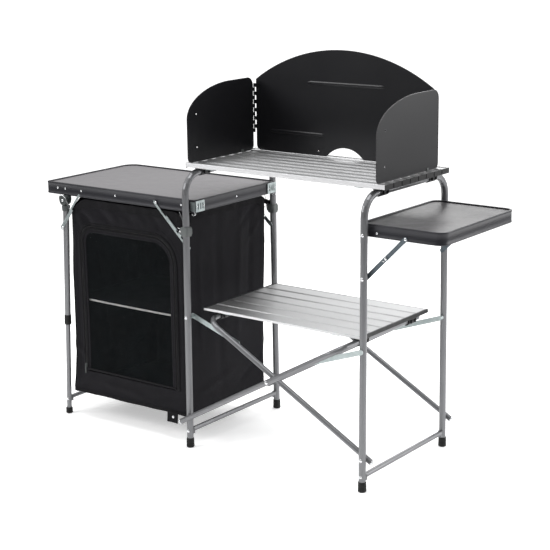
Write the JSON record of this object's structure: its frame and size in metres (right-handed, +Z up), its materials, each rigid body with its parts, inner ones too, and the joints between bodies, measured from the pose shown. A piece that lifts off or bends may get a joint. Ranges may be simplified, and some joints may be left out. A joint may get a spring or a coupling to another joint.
{
  "type": "folding camp kitchen table",
  "caption": "Folding camp kitchen: slatted cooking shelf with a hinged windshield on scissor-braced arches, a hanging fabric cupboard under a counter, and a drop-leaf side table.",
  "frame": {"origin": "on the floor, under the middle of the bounding box", "axes": "+X runs along the table from the cupboard to the side table, +Y from the user to the windshield, +Z up"},
  "size_m": [1.365, 0.4654, 1.116],
  "materials": {
    "frame_tube": "satin powder-coated silver-grey tube",
    "slats": "ribbed anodised slat",
    "zinc": "bright zinc-plated pressing",
    "black_plastic": "matt moulded black",
    "grey_plastic": "matt moulded grey",
    "laminate": "satin grey laminate on a wood-fibre board",
    "edge_profile": "dark satin edge profile",
    "painted_sheet": "black satin enamel on steel sheet",
    "polyester": "black plain-weave polyester",
    "cupboard_board": "polyester sleeve over a stiff panel"
  },
  "bodies": {
    "base": {"left_arch": "frame_tube", "left_foot_front": "black_plastic", "left_foot_rear": "black_plastic", "left_rail": "frame_tube", "left_saddle_front": "black_plastic", "left_saddle_rear": "black_plastic", "leg_collar_front": "grey_plastic", "leg_collar_rear": "grey_plastic", "counter_edge": "edge_profile", "counter_board": "laminate", "counter_bracket_front": "zinc", "counter_bracket_rear": "zinc", "counter_knuckle_front": "black_plastic", "counter_knuckle_rear": "black_plastic", "counter_leg_front": "frame_tube", "counter_leg_rear": "frame_tube", "outer_strut_front": "zinc", "outer_strut_rear": "zinc", "inner_strut_front": "zinc", "inner_strut_rear": "zinc", "cupboard_front": "polyester", "cupboard_left": "polyester", "cupboard_right": "polyester", "cupboard_back": "polyester", "cupboard_floor": "cupboard_board", "cupboard_shelf": "cupboard_board"},
    "counter_feet": {"counter_tube_front": "frame_tube", "counter_tube_rear": "frame_tube", "counter_foot_front": "black_plastic", "counter_foot_rear": "black_plastic", "counter_rail": "frame_tube"},
    "cupboard_flap": {"cupboard_door": "polyester"},
    "outer_x": {"outer_scissor": "frame_tube", "outer_saddle_front": "black_plastic", "outer_saddle_rear": "black_plastic"},
    "inner_x": {"inner_scissor": "frame_tube", "inner_saddle_front": "black_plastic", "inner_saddle_rear": "black_plastic"},
    "right_frame": {"right_arch": "frame_tube", "right_foot_front": "black_plastic", "right_foot_rear": "black_plastic", "right_rail": "frame_tube", "right_saddle_front": "black_plastic", "right_saddle_rear": "black_plastic"},
    "lower_rack": {"lower_shelf": "slats"},
    "link_left_front": {"left_link_front": "zinc"},
    "link_left_rear": {"left_link_rear": "zinc"},
    "link_right_front": {"right_link_front": "zinc"},
    "link_right_rear": {"right_link_rear": "zinc"},
    "side_leaf": {"side_table_edge": "edge_profile", "side_table_board": "laminate"},
    "brace_upper_front": {"upper_brace_front": "zinc"},
    "brace_upper_rear": {"upper_brace_rear": "zinc"},
    "brace_lower_front": {"lower_brace_front": "zinc"},
    "brace_lower_rear": {"lower_brace_rear": "zinc"},
    "top_rack": {"top_shelf": "slats"},
    "windshield": {"shield_back": "painted_sheet"},
    "wing_left": {"shield_wing_left": "painted_sheet"},
    "wing_right": {"shield_wing_right": "painted_sheet"}
  },
  "joints": [
    {"name": "frame_fold", "type": "hinge", "parent": "base", "child": "outer_x", "pos_m": [-0.1285, 0, 0.088], "axis": [0, -1, 0], "range_deg": [0, 35]},
    {"name": "scissor_centre", "type": "hinge", "parent": "outer_x", "child": "inner_x", "pos_m": [0.1655, 0, 0.25264], "axis": [0, -1, 0], "range_deg": [-71, 0]},
    {"name": "right_arch_foot", "type": "hinge", "parent": "inner_x", "child": "right_frame", "pos_m": [0.4595, 0, 0.088], "axis": [0, -1, 0], "range_deg": [0, 36]},
    {"name": "lower_shelf_hook", "type": "hinge", "parent": "inner_x", "child": "lower_rack", "pos_m": [-0.0685, 0, 0.38368], "axis": [0, -1, 0], "range_deg": [0, 36]},
    {"name": "left_link_front_pivot", "type": "hinge", "parent": "base", "child": "link_left_front", "pos_m": [-0.1285, -0.1802, 0.384], "axis": [0, -1, 0], "range_deg": [0, 82.25]},
    {"name": "left_link_rear_pivot", "type": "hinge", "parent": "base", "child": "link_left_rear", "pos_m": [-0.1285, 0.2155, 0.384], "axis": [0, -1, 0], "range_deg": [0, 82.25]},
    {"name": "right_link_front_pivot", "type": "hinge", "parent": "right_frame", "child": "link_right_front", "pos_m": [0.4595, -0.2155, 0.384], "axis": [0, -1, 0], "range_deg": [-82.25, 0]},
    {"name": "right_link_rear_pivot", "type": "hinge", "parent": "right_frame", "child": "link_right_rear", "pos_m": [0.4595, 0.1802, 0.384], "axis": [0, -1, 0], "range_deg": [-82.25, 0]},
    {"name": "side_table_fold", "type": "hinge", "parent": "right_frame", "child": "side_leaf", "pos_m": [0.4595, 0, 0.69], "axis": [0, -1, 0], "range_deg": [-90, 0]},
    {"name": "upper_brace_front_pivot", "type": "hinge", "parent": "side_leaf", "child": "brace_upper_front", "pos_m": [0.5735, -0.188, 0.69], "axis": [0, -1, 0], "range_deg": [-46, 0]},
    {"name": "upper_brace_rear_pivot", "type": "hinge", "parent": "side_leaf", "child": "brace_upper_rear", "pos_m": [0.5735, 0.188, 0.69], "axis": [0, -1, 0], "range_deg": [-46, 0]},
    {"name": "lower_brace_front_pivot", "type": "hinge", "parent": "right_frame", "child": "brace_lower_front", "pos_m": [0.4595, -0.19, 0.576], "axis": [0, -1, 0], "range_deg": [0, 46]},
    {"name": "lower_brace_rear_pivot", "type": "hinge", "parent": "right_frame", "child": "brace_lower_rear", "pos_m": [0.4595, 0.19, 0.576], "axis": [0, -1, 0], "range_deg": [0, 46]},
    {"name": "cupboard_door_open", "type": "hinge", "parent": "base", "child": "cupboard_flap", "pos_m": [-0.3685, -0.186, 0.15], "axis": [1, 0, 0], "range_deg": [0, 90]},
    {"name": "counter_leg_length", "type": "slide", "parent": "base", "child": "counter_feet", "axis": [-0.0412, 0, -0.9992], "range_m": [0, 0.06]},
    {"name": "top_shelf_lift", "type": "slide", "parent": "base", "child": "top_rack", "axis": [0, 0, 1], "range_m": [0, 0.12]},
    {"name": "windshield_lift", "type": "slide", "parent": "top_rack", "child": "windshield", "axis": [0, 0, 1], "range_m": [0, 0.05]},
    {"name": "wing_left_fold", "type": "hinge", "parent": "windshield", "child": "wing_left", "pos_m": [-0.1285, 0.118, 0.94], "axis": [0, 0, 1], "range_deg": [0, 90]},
    {"name": "wing_right_fold", "type": "hinge", "parent": "windshield", "child": "wing_right", "pos_m": [0.4815, 0.118, 0.94], "axis": [0, 0, -1], "range_deg": [0, 90]}
  ],
  "couplings": [
    {"joint": "scissor_centre", "follows": "frame_fold", "ratio": -2},
    {"joint": "right_arch_foot", "follows": "frame_fold", "ratio": 1},
    {"joint": "lower_shelf_hook", "follows": "frame_fold", "ratio": 1},
    {"joint": "left_link_front_pivot", "follows": "frame_fold", "ratio": 2.3214},
    {"joint": "left_link_rear_pivot", "follows": "frame_fold", "ratio": 2.3214},
    {"joint": "right_link_front_pivot", "follows": "frame_fold", "ratio": -2.3214},
    {"joint": "right_link_rear_pivot", "follows": "frame_fold", "ratio": -2.3214},
    {"joint": "upper_brace_front_pivot", "follows": "side_table_fold", "ratio": 0.5},
    {"joint": "upper_brace_rear_pivot", "follows": "side_table_fold", "ratio": 0.5},
    {"joint": "lower_brace_front_pivot", "follows": "side_table_fold", "ratio": -0.5},
    {"joint": "lower_brace_rear_pivot", "follows": "side_table_fold", "ratio": -0.5}
  ]
}
